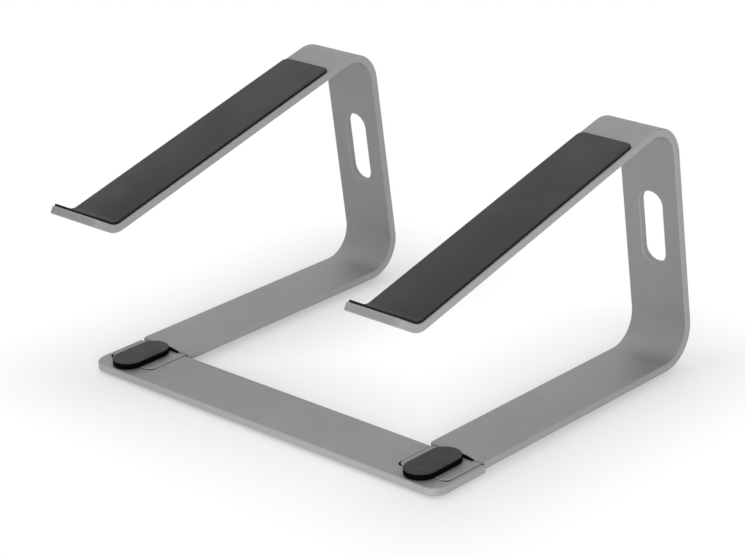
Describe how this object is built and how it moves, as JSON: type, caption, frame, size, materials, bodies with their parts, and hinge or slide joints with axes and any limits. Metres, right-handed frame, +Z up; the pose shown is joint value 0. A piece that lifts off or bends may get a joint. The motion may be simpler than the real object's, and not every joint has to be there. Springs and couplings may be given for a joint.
{
  "type": "laptop stand",
  "caption": "Knock-down aluminium laptop stand: bent C-shaped arms with soft strips on sloping shelves plug into a flat crossbar under oval lock knobs, with a cable slot in each leg.",
  "frame": {"origin": "on the desk, in the middle of the stand's overall width and depth", "axes": "+X across the stand to the user's right, +Y away from the user, +Z up from the desk"},
  "size_m": [0.262, 0.236, 0.1465],
  "materials": {
    "plate": "fine bead-blasted and anodised, satin grey",
    "silicone": "matt dark grey silicone sheet",
    "knob_rubber": "matt black moulded rubber",
    "foot_rubber": "matt black rubber pad",
    "block": "machined, clear anodised",
    "screw": "plain countersunk socket screw"
  },
  "bodies": {
    "crossbar": {"crossbar": "plate", "left_knob_cap": "knob_rubber", "right_knob_cap": "knob_rubber", "left_lock_block": "block", "right_lock_block": "block", "left_front_lock_screw": "screw", "left_rear_lock_screw": "screw", "right_front_lock_screw": "screw", "right_rear_lock_screw": "screw", "left_front_foot": "foot_rubber", "right_front_foot": "foot_rubber"},
    "left_arm": {"left_arm": "plate", "left_support_strip": "silicone", "left_rear_foot": "foot_rubber"},
    "right_arm": {"right_arm": "plate", "right_support_strip": "silicone", "right_rear_foot": "foot_rubber"}
  },
  "joints": [
    {"name": "left_arm_slide", "type": "slide", "parent": "crossbar", "child": "left_arm", "axis": [0, 1, 0], "range_m": [0, 0.035]},
    {"name": "right_arm_slide", "type": "slide", "parent": "crossbar", "child": "right_arm", "axis": [0, 1, 0], "range_m": [0, 0.035]}
  ]
}
